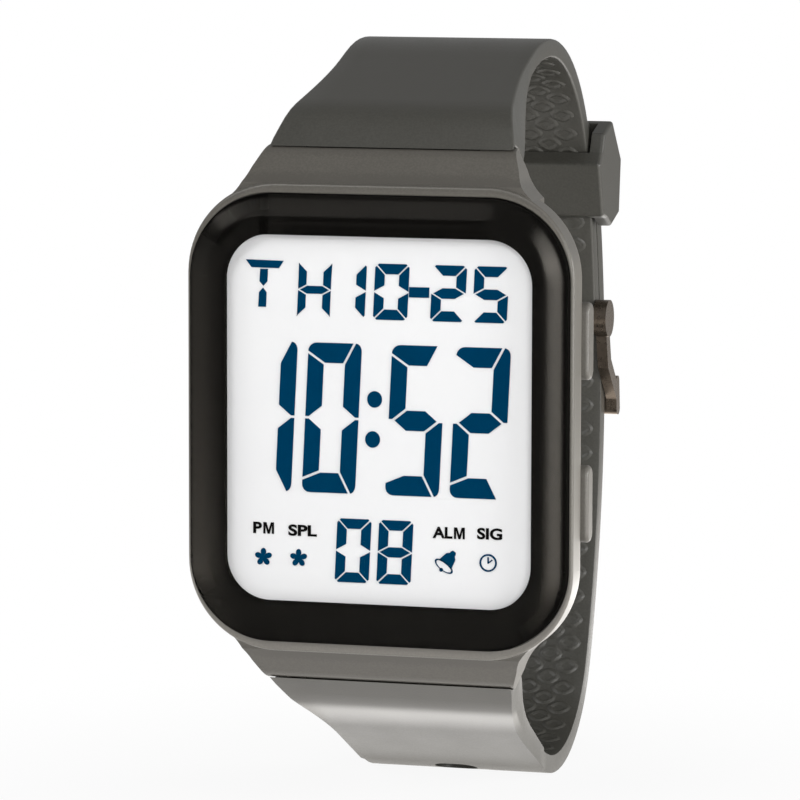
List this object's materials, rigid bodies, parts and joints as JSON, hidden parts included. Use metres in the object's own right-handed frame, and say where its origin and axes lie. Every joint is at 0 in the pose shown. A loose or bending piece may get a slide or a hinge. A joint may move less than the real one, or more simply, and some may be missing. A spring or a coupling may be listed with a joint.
{
  "type": "digital watch",
  "caption": "Digital wrist watch with a tall round-cornered case, a raised black-framed window, side push buttons, and a resin strap closed by a metal buckle.",
  "frame": {"origin": "centre of the outer face of the case back", "axes": "+X to 3 o'clock, +Z to 12 o'clock, +Y away from the display towards the wrist"},
  "size_m": [0.0428, 0.0626, 0.0816],
  "materials": {
    "case_resin": "satin dark grey",
    "strap_resin": "matt dark grey",
    "window": "polished",
    "black_print": "gloss black",
    "gasket": "matt",
    "steel": "brushed",
    "display": "satin white",
    "light_guide": "milky",
    "lamp": "gloss",
    "module_plastic": "matt",
    "board": "solder mask",
    "chip": "moulded",
    "plated_steel": "bright nickel",
    "brass": "satin",
    "buckle_metal": "dark gloss",
    "button_grey": "satin grey"
  },
  "bodies": {
    "case": {"case_body": "case_resin", "crystal": "window", "crystal_mask": "black_print", "crystal_gasket": "gasket", "case_back": "steel", "case_back_screws": "steel", "case_back_gasket": "gasket", "lcd_panel": "display", "light_guide": "light_guide", "backlight_lamps": "lamp", "lcd_connectors": "gasket", "module_frame": "module_plastic", "circuit_board": "board", "timer_chip": "chip", "quartz_can": "plated_steel", "coin_cell": "plated_steel", "cell_clip": "plated_steel", "buzzer_disc": "brass", "buzzer_contact": "plated_steel", "button_seals": "gasket", "strap_lower": "strap_resin", "lug_spring_bar_upper": "steel", "lug_spring_bar_lower": "steel", "button_spring_upper_right": "plated_steel", "button_spring_lower_right": "plated_steel", "button_spring_upper_left": "plated_steel", "button_spring_lower_left": "plated_steel"},
    "upper_strap": {"strap_upper": "strap_resin", "buckle_spring_bar": "steel"},
    "keeper": {"strap_keeper": "strap_resin"},
    "buckle_frame": {"buckle_frame": "buckle_metal"},
    "buckle_tongue": {"buckle_tongue": "buckle_metal"},
    "button_upper_right": {"button_upper_right": "button_grey", "button_clip_upper_right": "plated_steel"},
    "button_lower_right": {"button_lower_right": "button_grey", "button_clip_lower_right": "plated_steel"},
    "button_upper_left": {"button_upper_left": "button_grey", "button_clip_upper_left": "plated_steel"},
    "button_lower_left": {"button_lower_left": "button_grey", "button_clip_lower_left": "plated_steel"}
  },
  "joints": [
    {"name": "upper_strap_flex", "type": "hinge", "parent": "case", "child": "upper_strap", "pos_m": [0, -0.0059, 0.025], "axis": [1, 0, 0], "range_deg": [-3, 5], "stiffness_Nm_per_rad": 0.8, "deforming": ["strap_lower"]},
    {"name": "keeper_slide", "type": "hinge", "parent": "upper_strap", "child": "keeper", "pos_m": [0, -0.0347, -0.0021], "axis": [1, 0, 0], "range_deg": [-5.2, 0]},
    {"name": "buckle_frame_turn", "type": "hinge", "parent": "upper_strap", "child": "buckle_frame", "pos_m": [0, 0.04185, 0.0062], "axis": [1, 0, 0], "range_deg": [0, 6]},
    {"name": "buckle_tongue_turn", "type": "hinge", "parent": "buckle_frame", "child": "buckle_tongue", "pos_m": [0, 0.04185, 0.0062], "axis": [1, 0, 0], "range_deg": [0, 12]},
    {"name": "upper_right_press", "type": "slide", "parent": "case", "child": "button_upper_right", "axis": [-1, 0, 0], "range_m": [0, 0.0008], "stiffness_N_per_m": 1500, "deforming": ["button_spring_upper_right"]},
    {"name": "lower_right_press", "type": "slide", "parent": "case", "child": "button_lower_right", "axis": [-1, 0, 0], "range_m": [0, 0.0008], "stiffness_N_per_m": 1500, "deforming": ["button_spring_lower_right"]},
    {"name": "upper_left_press", "type": "slide", "parent": "case", "child": "button_upper_left", "axis": [1, 0, 0], "range_m": [0, 0.0008], "stiffness_N_per_m": 1500, "deforming": ["button_spring_upper_left"]},
    {"name": "lower_left_press", "type": "slide", "parent": "case", "child": "button_lower_left", "axis": [1, 0, 0], "range_m": [0, 0.0008], "stiffness_N_per_m": 1500, "deforming": ["button_spring_lower_left"]}
  ]
}
